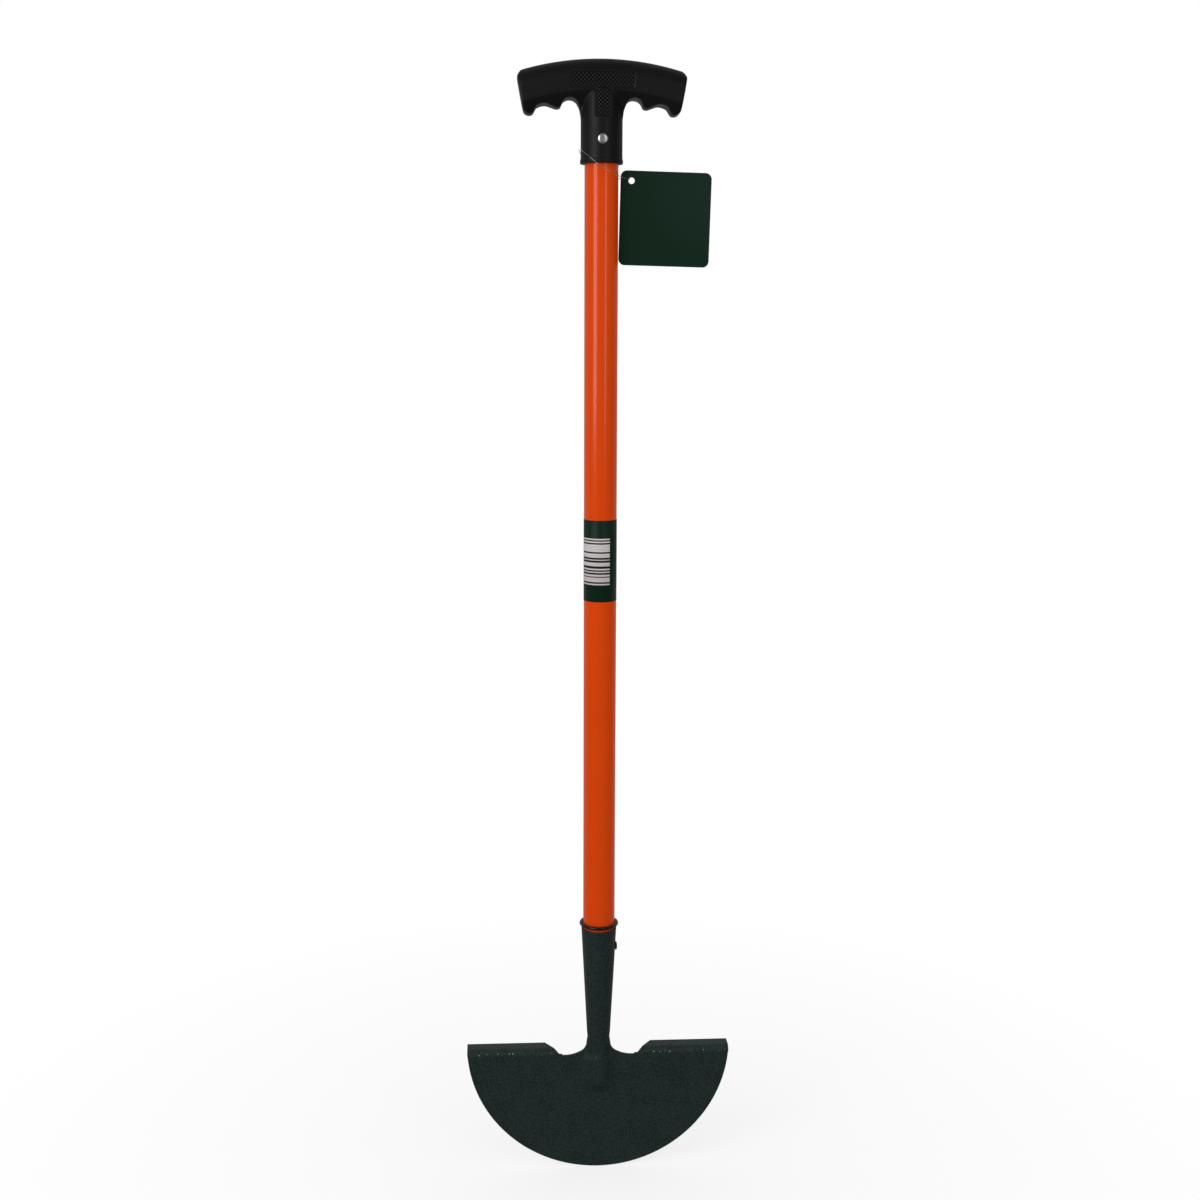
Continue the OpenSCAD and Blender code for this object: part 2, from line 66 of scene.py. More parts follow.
# Sockets of a Mix node that mixes colours
MIX_SHARE, MIX_A, MIX_B, MIX_OUT = 0, 6, 7, 2

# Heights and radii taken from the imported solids
BLADE_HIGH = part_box("blade")[1]
RIDGE_LOW_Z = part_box("socket")[0].z
SHAFT_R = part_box("shaft_sleeve")[1].x
RING_LOW, RING_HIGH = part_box("collar_ring")
GRIP_LOW, GRIP_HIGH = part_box("grip")
MOUTH_Z = GRIP_LOW.z
LABEL_LOW, LABEL_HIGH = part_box("wrap_label")
LOCK_LOW, LOCK_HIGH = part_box("loop_lock")

# Blade: the same sheet, fold and notches as the solid
BLADE_R = BLADE_HIGH.x
SHEET = 2.5 * MM
TREAD_Z = BLADE_R - 4 * MM
TREAD_BACK = BLADE_HIGH.y
FOLD_R = 5.5 * MM
FOLD_Z = TREAD_Z - FOLD_R
FOLD_MID_R = FOLD_R - SHEET / 2
FOLD_END_X = math.sqrt(BLADE_R ** 2 - (BLADE_R - FOLD_Z) ** 2)
NECK_R = 9.7 * MM
TREAD_IN = NECK_R + 21.2 * MM
TREAD_FOOT = TREAD_IN - 1.1 * MM
# Run of the tread's inner end for its rise: a short foot, then the slant
FOOT_RUN = 2.6
TREAD_RUN = 0.72
EAR_X = NECK_R + 0.3 * MM
EAR_DRAW = 0.8 * MM
NOTCH_R = 9 * MM
NOTCH_X = EAR_X + NOTCH_R
NOTCH_Z = TREAD_Z + 5.9 * MM
SHOULDER_SLOPE = math.radians(25)
SHOULDER_ROUND = 5 * MM
SWEEP_Z = NOTCH_Z - NOTCH_R * math.cos(SHOULDER_SLOPE)
SHOULDER_X = (NOTCH_X - NOTCH_R * math.sin(SHOULDER_SLOPE)
              + (SWEEP_Z - FOLD_Z) / math.tan(SHOULDER_SLOPE))
SHEET_TOP_Z = TREAD_Z + 11.3 * MM
EDGE_LAND = 0.8 * MM
EDGE_BEVEL = 3 * MM

# Grip: its lip, and the T-shaped panel on its front and back
LIP_H = 3 * MM
PANEL_TOP = GRIP_HIGH.z - 10.9 * MM
PANEL_HALF = 24.3 * MM
PANEL_H = 12.1 * MM
LEG_HALF = 5.5 * MM
LEG_H = 20.5 * MM
PANEL_LOW = PANEL_TOP - PANEL_H
LEG_LOW = PANEL_LOW - LEG_H

# Label: its bare panel of bars, by the angles of its ends from the front and its height
BARS_LEFT = math.radians(-85)
BARS_RIGHT = math.radians(32)
BARS_Z = (LABEL_LOW.z + LABEL_HIGH.z) / 2 - 0.3 * MM
BARS_HALF_H = 18.5 * MM

# Card tag: it hangs by its hole, which is also where it swings
TAG_SWING = next(j for j in frame["joints"] if j["name"] == "tag_swing")
TAG_HOLE = Vector(TAG_SWING["pos_m"])
TAG_W = 70 * MM
TAG_H = 71 * MM
TAG_HOLE_SIDE = 8.4 * MM
TAG_HOLE_TOP = 7.6 * MM
TAG_HOLE_R = 2.4 * MM
TAG_CORNER = 4.8 * MM
TAG_T = 0.5 * MM
TAG_TILT = math.radians(1.4)

# Nylon filament: x, y and height above the grip's mouth in millimetres, from the snap head
# round the front, through the card's hole and back behind the shaft
LOOP_D = 0.5 * MM
LOOP_ROUTE = [
    (-1.6, 17.9, -2.2), (-6.6, 15.9, 0.8), (-12.1, 12.1, 4.8), (-15.7, 6.5, 8.2),
    (-17, 0, 10.2), (-15.7, -6.5, 9.6), (-12.1, -12.1, 6.2), (-6.6, -15.9, 1.2),
    (-1.5, -17.2, -2.5), (3, -17, -5.4), (7.8, -15.4, -7.7), (12.8, -12.2, -9.5),
    (17, -8, -10.5), (20.4, -3.6, -10.8), (21.6, -1.2, -10.7), (21.6, 1.2, -10.7),
    (20.4, 3.6, -10.7), (17, 8, -10.2), (12.8, 12.2, -9), (7.8, 15.4, -7),
    (1.6, 17.9, -3.8)]


def linear(code):
    """Linear colour of an sRGB hex value such as #D2440A."""
    parts = [int(code[i:i + 2], 16) / 255 for i in (1, 3, 5)]
    return tuple(c / 12.92 if c <= 0.04045 else ((c + 0.055) / 1.055) ** 2.4 for c in parts)


def colour_property(name, code, description):
    return bpy.props.FloatVectorProperty(
        name=name, description=description, default=linear(code), subtype="COLOR", min=0, max=1)


def number_property(name, value, unit, description):
    return bpy.props.FloatProperty(
        name=name, description=description, default=value, unit=unit, precision=5, min=0)


class EdgerColours(bpy.types.PropertyGroup):
    """Colours of the finishes"""

    coat: colour_property("Coat", "#0E1E1C", "Dark green of the hammered coat")
    coat_light: colour_property("Coat crests", "#20332F", "Paler green on the crests of the coat")
    # Pale specks painted along the fold: a painted highlight for glints of light on the coat
    painted_glints: colour_property("Painted glints", "#B4BAB6", "Specks where the coat has chipped along the fold")
    cover: colour_property("Cover", "#D64300", "Orange of the shaft's plastic cover")
    grip: colour_property("Grip", "#0D0C0F", "Black of the moulded grip")
    # The diamonds' black is lighter than the grip's: a painted highlight on their raised tops
    knurl: colour_property("Knurl", "#171519", "Black of the grip's diamonds, polished by lamplight")
    rubber: colour_property("Ring", "#0C0D0D", "Black of the rubber ring")
    steel: colour_property("Steel", "#A8ACAF", "Drawn steel of the tube and mandrels")
    aluminium: colour_property("Rivet", "#D6D8D9", "Bright aluminium of the grip's rivet")
    print_green: colour_property("Print", "#0A2718", "Dark green printed on label and card")
    painted_sheen: colour_property("Painted sheen", "#0F2A20", "Paler green towards a corner of the card")
    # Paler green painted towards a corner of the card: a painted sheen of light on the laminate
    print_white: colour_property("Paper", "#CFC8C8", "White left bare in the print")
    bar_ink: colour_property("Bars", "#1E171B", "Ink of the bars on the label")
    nylon: colour_property("Nylon", "#A6A8A4", "Clear nylon of the filament and its snap head")


class EdgerSizes(bpy.types.PropertyGroup):
    """Sizes of the finishing detail"""

    edge_round: number_property(
        "Edge rounding", 0.25 * MM, "LENGTH", "Rounding of the blade's edges under the coat")
    head_voxel: number_property("Head grain", 0.55 * MM, "LENGTH", "Mesh size of the socket")
    grip_voxel: number_property("Grip grain", 0.6 * MM, "LENGTH", "Mesh size of the grip")
    knurl_pitch: number_property(
        "Knurl pitch", 3 * MM, "LENGTH", "Distance between diamonds on the grip's panel")
    knurl_height: number_property(
        "Knurl height", 0.5 * MM, "LENGTH", "Height of the diamonds on the grip's panel")
    film: number_property("Label film", 0.15 * MM, "LENGTH", "Thickness of the label")


class EdgerStage(bpy.types.PropertyGroup):
    """Camera and light"""

    lens: number_property("Lens", 47.9, "CAMERA", "Focal length of the camera in millimetres")
    sky: number_property("Sky", 0.68, "NONE", "Strength of the light from all round")
    room: number_property("Room", 0.1, "NONE", "Strength of the room in front in reflections")
    backdrop: number_property(
        "Backdrop", 0.42, "NONE", "Strength of the white behind in reflections")
    key_power: number_property("Key power", 11.3, "POWER", "Power of the wide lamp on the left")
    strip_power: number_property(
        "Strip power", 2.9, "POWER", "Power of the narrow lamp on the right")


# Modelling helpers

def only(*pieces):
    """Selects these pieces and nothing else, the first one active."""
    bpy.ops.object.select_all(action="DESELECT")
    for piece in pieces:
        piece.select_set(True)
    bpy.context.view_layer.objects.active = pieces[0]


def edit(piece):
    """Opens a piece in edit mode."""
    only(piece)
    bpy.ops.object.mode_set(mode="EDIT")


def start(primitive, **settings):
    """Adds a primitive, keeps its size and place in its mesh, and opens it in edit mode."""
    bpy.ops.object.select_all(action="DESELECT")
    primitive(**settings)
    bpy.ops.object.transform_apply(location=True, rotation=True, scale=True)
    bpy.ops.object.mode_set(mode="EDIT")
    bpy.ops.mesh.select_mode(type="VERT")
    bpy.ops.mesh.select_all(action="SELECT")
    return bpy.context.object


def pick(kind, test):
    """Selects what passes the test in the mesh being edited: VERT, EDGE or FACE."""
    bpy.ops.mesh.select_mode(type=kind)
    bpy.ops.mesh.select_all(action="DESELECT")
    mesh = bpy.context.edit_object.data
    shape = bmesh.from_edit_mesh(mesh)
    for item in {"VERT": shape.verts, "EDGE": shape.edges, "FACE": shape.faces}[kind]:
        if test(item):
            item.select_set(True)
    shape.select_flush_mode()
    bmesh.update_edit_mesh(mesh)


def cut(point, normal, **settings):
    """Cuts what is selected by a plane."""
    bpy.ops.mesh.bisect(plane_co=point, plane_no=normal, **settings)


def cut_all(planes, **settings):
    """Cuts the whole mesh by each plane, given as a point and a normal."""
    for point, normal in planes:
        bpy.ops.mesh.select_all(action="SELECT")
        cut(point, normal, **settings)


def push(x=0, y=0, z=0):
    """Extrudes what is selected by a distance."""
    bpy.ops.mesh.extrude_region_move(TRANSFORM_OT_translate={"value": (x, y, z)})


def close_up():
    """Ends edit mode with doubles merged and faces pointing outwards."""
    bpy.ops.mesh.select_all(action="SELECT")
    bpy.ops.mesh.remove_doubles(threshold=MERGE)
    bpy.ops.mesh.normals_make_consistent(inside=False)
    bpy.ops.object.mode_set(mode="OBJECT")


def modify(piece, kind, **settings):
    """Adds a modifier and applies it."""
    only(piece)
    modifier = piece.modifiers.new(kind.title(), kind)
    for name, value in settings.items():
        setattr(modifier, name, value)
    bpy.ops.object.modifier_apply(modifier=modifier.name)


def copy_nodes(*names):
    """One merged mesh copied from CAD nodes."""
    pieces = []
    for name in names:
        piece = bpy.data.objects.new(name, NODES[name].data.copy())
        bpy.context.scene.collection.objects.link(piece)
        pieces.append(piece)
    only(*pieces)
    if len(pieces) > 1:
        bpy.ops.object.join()
    bpy.ops.object.mode_set(mode="EDIT")
    close_up()
    return pieces[0]


def weigh(piece, weight):
    """Gives each vertex a weight from 0 to 1 by its place, for a modifier to follow."""
    group = piece.vertex_groups.new(name="soft")
    for vertex in piece.data.vertices:
        group.add([vertex.index], max(0, min(1, weight(vertex.co))), "REPLACE")
    return group.name


def turned(profile, sides):
    """Turns a closed profile of radii and heights about Z."""
    radius, height = profile[0]
    piece = start(bpy.ops.mesh.primitive_circle_add, vertices=sides, radius=radius,
                  location=(0, 0, height))
    for (r0, h0), (r1, h1) in zip(profile, profile[1:]):
        push(z=h1 - h0)
        bpy.ops.transform.resize(value=(r1 / r0, r1 / r0, 1), center_override=(0, 0, h1))
    pick("EDGE", lambda edge: edge.is_boundary)
    bpy.ops.mesh.bridge_edge_loops()
    close_up()
    return piece


def place(piece, location=(0, 0, 0), rotation=(0, 0, 0)):
    """Moves a piece and keeps the move in its mesh."""
    only(piece)
    piece.location = location
    piece.rotation_euler = rotation
    bpy.ops.object.transform_apply(location=True, rotation=True, scale=True)


def finish(piece, name, finish_material, body, slot, *nodes, smooth=35):
    """Names a piece, gives it its material, shades it smooth and ties it to the CAD.

    Edges sharper than smooth, in degrees, stay sharp.
    """
    only(piece)
    piece.name = name
    piece.data.name = name
    piece.vertex_groups.clear()
    piece.data.materials.clear()
    piece.data.materials.append(finish_material)
    bpy.ops.object.shade_smooth_by_angle(angle=math.radians(smooth))
    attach(piece, body)
    if nodes:
        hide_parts(*nodes)
    return piece


# Materials

def feed(tree, node, sockets):
    """Links sockets of a node to the outputs given, or sets them to the values given."""
    for key, value in sockets.items():
        if isinstance(value, bpy.types.NodeSocket):
            tree.links.new(value, node.inputs[key])
        else:
            node.inputs[key].default_value = value


def add(tree, kind, sockets, **options):
    """Adds a shader node with its options and sockets, and gives its outputs."""
    node = tree.nodes.new("ShaderNode" + kind)
    for name, value in options.items():
        setattr(node, name, value)
    feed(tree, node, sockets)
    return node.outputs


def rgba(colour):
    return (*colour, 1)


def material(name, sockets):
    """A material, its node tree, its Principled shader with these values, and coordinates."""
    made = bpy.data.materials.new(name)
    made.use_nodes = True
    tree = made.node_tree
    shader = tree.nodes["Principled BSDF"]
    feed(tree, shader, sockets)
    where = add(tree, "TexCoord", {})["Object"]
    return made, tree, shader, where


def hammered_coat(colours):
    """Hammered powder coat on steel: soft dimples and paler crests that break up a dull sheen.

    A row of pale specks painted low on the fold of the treads is a painted highlight, for the
    glints of light there.
    """
    made, tree, shader, where = material(
        "hammered_powder_coat", {"IOR": 1.5, "Specular IOR Level": 0.35})
    dimples = add(tree, "TexVoronoi", {"Vector": where, "Scale": 1 / (2 * MM), "Smoothness": 0.6},
                  feature="SMOOTH_F1")
    # Grit of about half a millimetre is drawn coarser, so that it shows at this size
    grit = add(tree, "TexNoise", {"Vector": where, "Scale": 1 / (1.5 * MM), "Detail": 3,
                                  "Roughness": 0.6})
    clouds = add(tree, "TexNoise", {"Vector": where, "Scale": 1 / (18 * MM), "Detail": 2})
    cloud_share = 0.22
    blend = add(tree, "Math", {0: clouds["Fac"], 1: cloud_share, 2: grit["Fac"]},
                operation="MULTIPLY_ADD")
    crest = add(tree, "MapRange", {"Value": blend[0], "From Min": 0.455, "From Max": 0.765})
    tint = add(tree, "Mix", {MIX_SHARE: crest[0], MIX_A: rgba(colours.coat),
                             MIX_B: rgba(colours.coat_light)}, data_type="RGBA")
    # The painted glints keep to a band low on the front of the fold, on each side of the notches
    axis = add(tree, "SeparateXYZ", {"Vector": where})
    band_z, band_half, band_y = FOLD_Z + 2 * MM, 0.8 * MM, -0.3 * MM
    band = add(tree, "Math", {0: axis["Z"], 1: band_z, 2: band_half}, operation="COMPARE")
    front = add(tree, "Math", {0: axis["Y"], 1: band_y}, operation="LESS_THAN")
    half = add(tree, "Math", {0: axis["X"]}, operation="ABSOLUTE")
    beside = add(tree, "Math", {0: half[0], 1: TREAD_IN}, operation="GREATER_THAN")
    fold = add(tree, "Math", {0: band[0], 1: front[0]}, operation="MULTIPLY")
    glint_band = add(tree, "Math", {0: fold[0], 1: beside[0]}, operation="MULTIPLY")
    # Painted highlight: small pale specks, one in each cell that is near enough to its point
    cells = add(tree, "TexVoronoi", {"Vector": where, "Scale": 1 / (2.4 * MM)})
    glint_r = 0.16
    glint_cell = add(tree, "Math", {0: cells["Distance"], 1: glint_r}, operation="LESS_THAN")
    glint_speck = add(tree, "Math", {0: glint_band[0], 1: glint_cell[0]}, operation="MULTIPLY")
    glinted = add(tree, "Mix", {MIX_SHARE: glint_speck[0], MIX_A: tint[MIX_OUT],
                                MIX_B: rgba(colours.painted_glints)}, data_type="RGBA")
    dull = add(tree, "MapRange", {"Value": grit["Fac"], "To Min": 0.42, "To Max": 0.62})
    dimple_share = 0.7
    height = add(tree, "Math", {0: dimples["Distance"], 1: dimple_share,
                                2: grit["Fac"]}, operation="MULTIPLY_ADD")
    bump = add(tree, "Bump", {"Strength": 0.55, "Distance": 0.25 * MM, "Height": height[0]})
    feed(tree, shader, {"Base Color": glinted[MIX_OUT], "Roughness": dull[0], "Normal": bump[0]})
    return made


def plastic_cover(colours):
    """Extruded PVC cover: even gloss with faint streaks along its length."""
    made, tree, shader, where = material(
        "extruded_pvc_cover", {"IOR": 1.53, "Specular IOR Level": 0.25})
    streaks = add(tree, "Mapping", {"Vector": where, "Scale": (1, 1, 0.02)})
    lines = add(tree, "TexNoise", {"Vector": streaks[0], "Scale": 1 / (1.4 * MM), "Detail": 3})
    clouds = add(tree, "TexNoise", {"Vector": where, "Scale": 1 / (30 * MM), "Detail": 3})
    shade = add(tree, "MapRange", {"Value": clouds["Fac"], "To Min": 0.94, "To Max": 1.05})
    tint = add(tree, "HueSaturation", {"Value": shade[0], "Color": rgba(colours.cover)})
    gloss = add(tree, "MapRange", {"Value": lines["Fac"], "To Min": 0.13, "To Max": 0.2})
    bump = add(tree, "Bump", {"Strength": 0.06, "Distance": 0.03 * MM, "Height": lines["Fac"]})
    feed(tree, shader, {"Base Color": tint[0], "Roughness": gloss[0], "Normal": bump[0]})
    return made


def moulded_grip(name, colour, shine):
    """Moulded polypropylene: fine spark-eroded grain that gives a satin black.

    It is shinier where its shine is set higher. On the grip's diamonds its black is painted
    lighter, as a painted highlight on their tops.
    """
    made, tree, shader, where = material(name, {"IOR": 1.49, "Specular IOR Level": shine})
    grain = add(tree, "TexNoise", {"Vector": where, "Scale": 1 / (0.45 * MM), "Detail": 2})
    clouds = add(tree, "TexNoise", {"Vector": where, "Scale": 1 / (14 * MM), "Detail": 2})
    blend = add(tree, "Math", {0: grain["Fac"], 1: clouds["Fac"]}, operation="ADD")
    dull = add(tree, "MapRange", {"Value": blend[0], "From Min": 0.6, "From Max": 1.4,
                                  "To Min": 0.42, "To Max": 0.58})
    bump = add(tree, "Bump", {"Strength": 0.35, "Distance": 0.06 * MM, "Height": grain["Fac"]})
    feed(tree, shader, {"Base Color": rgba(colour), "Roughness": dull[0], "Normal": bump[0]})
    return made


def ring_rubber(colours):
    """Moulded nitrile rubber: smooth and dark with a soft sheen and a dusty patchiness."""
    made, tree, shader, where = material(
        "moulded_nitrile_rubber", {"IOR": 1.52, "Specular IOR Level": 0.45})
    dust = add(tree, "TexNoise", {"Vector": where, "Scale": 1 / (3 * MM), "Detail": 4})
    dull = add(tree, "MapRange", {"Value": dust["Fac"], "To Min": 0.25, "To Max": 0.42})
    bump = add(tree, "Bump", {"Strength": 0.2, "Distance": 0.03 * MM, "Height": dust["Fac"]})
    feed(tree, shader, {"Base Color": rgba(colours.rubber), "Roughness": dull[0],
                        "Normal": bump[0]})
    return made


def bare_metal(name, colour, low, high, grain):
    """Bare metal: a sheen between two roughnesses in a grain that drawing or turning leaves."""
    made, tree, shader, where = material(name, {"Metallic": 1})
    marks = add(tree, "TexNoise", {"Vector": where, "Scale": 1 / grain, "Detail": 4,
                                   "Roughness": 0.6})
    dull = add(tree, "MapRange", {"Value": marks["Fac"], "To Min": low, "To Max": high})
    bump = add(tree, "Bump", {"Strength": 0.15, "Distance": 0.02 * MM, "Height": marks["Fac"]})
    feed(tree, shader, {"Base Color": rgba(colour), "Roughness": dull[0], "Normal": bump[0]})
    return made


def clear_nylon(colours):
    """Drawn nylon filament: clear with a milky core, so it reads as a thin bright line."""
    made, tree, shader, where = material(
        "drawn_clear_nylon", {"IOR": 1.53, "Transmission Weight": 0.8})
    haze = add(tree, "TexNoise", {"Vector": where, "Scale": 1 / (2 * MM), "Detail": 2})
    dull = add(tree, "MapRange", {"Value": haze["Fac"], "To Min": 0.06, "To Max": 0.2})
    feed(tree, shader, {"Base Color": rgba(colours.nylon), "Roughness": dull[0]})
    return made


def printed_film(colours):
    """Gloss polypropylene film printed dark green, with one bare panel of plain ink bars."""
    made, tree, shader, where = material(
        "printed_polypropylene_film", {"IOR": 1.49, "Specular IOR Level": 0.15})
    axis = add(tree, "SeparateXYZ", {"Vector": where})
    ahead = add(tree, "Math", {0: axis["Y"], 1: -1}, operation="MULTIPLY")
    angle = add(tree, "Math", {0: axis["X"], 1: ahead[0]}, operation="ARCTAN2")
    wide = add(tree, "Math", {0: angle[0], 1: (BARS_LEFT + BARS_RIGHT) / 2,
                              2: (BARS_RIGHT - BARS_LEFT) / 2}, operation="COMPARE")
    tall = add(tree, "Math", {0: axis["Z"], 1: BARS_Z, 2: BARS_HALF_H}, operation="COMPARE")
    panel = add(tree, "Math", {0: wide[0], 1: tall[0]}, operation="MULTIPLY")
    # Bars half a millimetre high would melt together at this size, so they are drawn coarser:
    # one row in three stays bare, and the others are inked to a random share of their height
    row_pitch, bare_share = 2.4 * MM, 0.3
    row = add(tree, "Math", {0: axis["Z"], 1: row_pitch}, operation="DIVIDE")
    whole = add(tree, "Math", {0: row[0]}, operation="FLOOR")
    within = add(tree, "Math", {0: row[0]}, operation="FRACT")
    weight = add(tree, "TexWhiteNoise", {"W": whole[0]}, noise_dimensions="1D")
    height = add(tree, "MapRange", {"Value": weight["Value"], "From Min": bare_share,
                                    "From Max": 1, "To Min": 0.26, "To Max": 0.74})
    under = add(tree, "Math", {0: within[0], 1: height[0]}, operation="LESS_THAN")
    inked = add(tree, "Math", {0: weight["Value"], 1: bare_share}, operation="GREATER_THAN")
    bar = add(tree, "Math", {0: under[0], 1: inked[0]}, operation="MULTIPLY")
    # Finer bars between them are too thin to tell apart, and show as grey rows
    fine_pitch = 1.2 * MM
    fine = add(tree, "Math", {0: axis["Z"], 1: fine_pitch}, operation="DIVIDE")
    step = add(tree, "Math", {0: fine[0]}, operation="FRACT")
    grey = add(tree, "MapRange", {"Value": step[0], "From Min": 0.55, "From Max": 0.75,
                                  "To Max": 0.45})
    ink = add(tree, "Math", {0: bar[0], 1: grey[0]}, operation="MAXIMUM")
    bars = add(tree, "Mix", {MIX_SHARE: ink[0], MIX_A: rgba(colours.print_white),
                             MIX_B: rgba(colours.bar_ink)}, data_type="RGBA")
    tint = add(tree, "Mix", {MIX_SHARE: panel[0], MIX_A: rgba(colours.print_green),
                             MIX_B: bars[MIX_OUT]}, data_type="RGBA")
    creases = add(tree, "TexNoise", {"Vector": where, "Scale": 1 / (9 * MM), "Detail": 3})
    dull = add(tree, "MapRange", {"Value": creases["Fac"], "To Min": 0.36, "To Max": 0.5})
    bump = add(tree, "Bump", {"Strength": 0.2, "Distance": 0.1 * MM, "Height": creases["Fac"]})
    feed(tree, shader, {"Base Color": tint[MIX_OUT], "Roughness": dull[0], "Normal": bump[0]})
    return made


def laminated_card(colours):
    """Board printed dark green under a gloss laminate, with a painted sheen: paler green towards
    one corner.
    """
    made, tree, shader, where = material(
        "laminated_printed_card", {"IOR": 1.49, "Specular IOR Level": 0.2})
    # The painted sheen pales the green towards a point near the card's top corner away from the
    # hole
    sheen_at = TAG_HOLE + Vector((TAG_W * 0.8, 0, -TAG_H * 0.1))
    reach = add(tree, "VectorMath", {0: where, 1: sheen_at}, operation="DISTANCE")
    glow = add(tree, "MapRange", {"Value": reach["Value"], "From Min": 5 * MM,
                                  "From Max": 60 * MM, "To Min": 1, "To Max": 0},
               interpolation_type="SMOOTHSTEP")
    tint = add(tree, "Mix", {MIX_SHARE: glow[0], MIX_A: rgba(colours.print_green),
                             MIX_B: rgba(colours.painted_sheen)}, data_type="RGBA")
    fibre = add(tree, "TexNoise", {"Vector": where, "Scale": 1 / (1.2 * MM), "Detail": 3})
    dull = add(tree, "MapRange", {"Value": fibre["Fac"], "To Min": 0.25, "To Max": 0.4})
    bump = add(tree, "Bump", {"Strength": 0.1, "Distance": 0.03 * MM, "Height": fibre["Fac"]})
    feed(tree, shader, {"Base Color": tint[MIX_OUT], "Roughness": dull[0], "Normal": bump[0]})
    return made


def card_core(colours):
    """Cut edge of the board: dull pale fibre between the printed faces."""
    made, tree, shader, where = material("cut_paper_board", {"IOR": 1.5, "Roughness": 0.9})
    fibre = add(tree, "TexNoise", {"Vector": where, "Scale": 1 / (0.3 * MM), "Detail": 3})
    shade = add(tree, "MapRange", {"Value": fibre["Fac"], "To Min": 0.85, "To Max": 1.1})
    tint = add(tree, "HueSaturation", {"Value": shade[0], "Color": rgba(colours.print_white)})
    feed(tree, shader, {"Base Color": tint[0]})
    return made


# Operators

class EDGER_OT_stage(bpy.types.Operator):
    """Camera, soft studio lamps, pale floor and white surroundings"""

    bl_idname = "edger.stage"
    bl_label = "Stage"

    # The lens looks a little down, from the left of the middle, at a point on the shaft
    aim = Vector((-0.75 * MM, 0, 488.7 * MM))
    distance = 1256.7 * MM
    pitch = math.radians(9.97)
    azimuth = math.radians(-3.4)
    roll = math.radians(-0.2)
    sensor_mm = 36
    # Each lamp is upright: its azimuth, distance, width, lower and upper edge in metres
    key = (math.radians(-44), 1.5, 0.62, 0.52, 1.75)
    strip = (math.radians(28), 1.5, 0.26, 0.52, 1.75)
    # Grey that the floor shows to the camera, and the darker one that it lights the object by
    floor_shown = 0.9
    floor_thrown = 0.5

    def execute(self, context):
        stage = context.scene.edger_stage
        bpy.ops.object.select_all(action="DESELECT")
        self.camera(context, stage)
        self.lamp(context, "key", stage.key_power, *self.key)
        self.lamp(context, "strip", stage.strip_power, *self.strip)
        self.surroundings(context, stage)
        self.floor(stage)
        context.scene.view_settings.view_transform = "Standard"
        return {"FINISHED"}

    def camera(self, context, stage):
        data = bpy.data.cameras.new("camera")
        data.lens = stage.lens
        data.sensor_width = self.sensor_mm
        camera = bpy.data.objects.new("camera", data)
        away = Vector((math.sin(self.azimuth), -math.cos(self.azimuth), math.tan(self.pitch)))
        camera.location = self.aim + away * self.distance
        camera.rotation_euler = (math.pi / 2 - self.pitch, self.roll, self.azimuth)
        context.scene.collection.objects.link(camera)
        context.scene.camera = camera

    def lamp(self, context, name, power, turn, away, width, low, high):
        light = bpy.data.lights.new(name, "AREA")
        light.shape = "RECTANGLE"
        light.size = width
        light.size_y = high - low
        light.energy = power
        lamp = bpy.data.objects.new(name, light)
        lamp.location = (math.sin(turn) * away, -math.cos(turn) * away, (low + high) / 2)
        lamp.rotation_euler = (math.pi / 2, 0, turn)
        context.scene.collection.objects.link(lamp)

    def seen(self, tree):
        """Two values: 1 for a ray from the camera or through nylon, and 1 for a reflected ray."""
        path = add(tree, "LightPath", {})
        direct = add(tree, "Math", {0: path["Is Camera Ray"], 1: path["Is Transmission Ray"]},
                     operation="MAXIMUM")
        return direct[0], path["Is Glossy Ray"]

    def mirrored(self, tree, stage, depth):
        """Strength that reflections show: a dim room in front and a white backdrop behind."""
        return add(tree, "MapRange", {"Value": depth, "From Min": -0.2, "From Max": 0.5,
                                      "To Min": stage.room, "To Max": stage.backdrop})[0]

    def surroundings(self, context, stage):
        world = bpy.data.worlds.new("white_room")
        context.scene.world = world
        world.use_nodes = True
        tree = world.node_tree
        direct, glossy = self.seen(tree)
        way = add(tree, "SeparateXYZ", {"Vector": add(tree, "TexCoord", {})["Generated"]})
        mirrored = self.mirrored(tree, stage, way["Y"])
        other = add(tree, "MapRange", {"Value": glossy, "To Min": stage.sky, "To Max": mirrored})
        strength = add(tree, "MapRange", {"Value": direct, "To Min": other[0], "To Max": 1})
        feed(tree, tree.nodes["Background"], {"Color": (1, 1, 1, 1), "Strength": strength[0]})

    def floor(self, stage):
        floor = start(bpy.ops.mesh.primitive_grid_add, x_subdivisions=8, y_subdivisions=8, size=12)
        close_up()
        made, tree, shader, where = material("matt_white_floor", {"Roughness": 0.9})
        direct, glossy = self.seen(tree)
        pale = add(tree, "Mix", {MIX_SHARE: direct, MIX_A: rgba([self.floor_thrown] * 3),
                                 MIX_B: rgba([self.floor_shown] * 3)}, data_type="RGBA")
        feed(tree, shader, {"Base Color": pale[MIX_OUT]})
        axis = add(tree, "SeparateXYZ", {"Vector": where})
        mirrored = self.mirrored(tree, stage, axis["Y"])
        strength = add(tree, "MapRange", {"Value": direct, "To Min": mirrored, "To Max": 1})
        glow = add(tree, "Emission", {"Color": (1, 1, 1, 1), "Strength": strength[0]})
        # Near the object a quarter of the lit floor shows, with its shadow; further out it is white
        reach = add(tree, "VectorMath", {0: where}, operation="LENGTH")
        share = add(tree, "MapRange", {"Value": reach["Value"], "From Min": 0.1,
                                       "From Max": 0.6, "To Min": 0.75, "To Max": 1})
        part = add(tree, "Math", {0: direct, 1: share[0], 2: glossy}, operation="MULTIPLY_ADD")
        mixed = add(tree, "MixShader", {0: part[0], 1: shader.outputs[0], 2: glow[0]})
        feed(tree, tree.nodes["Material Output"], {"Surface": mixed[0]})
        floor.name = "floor"
        floor.data.materials.append(made)


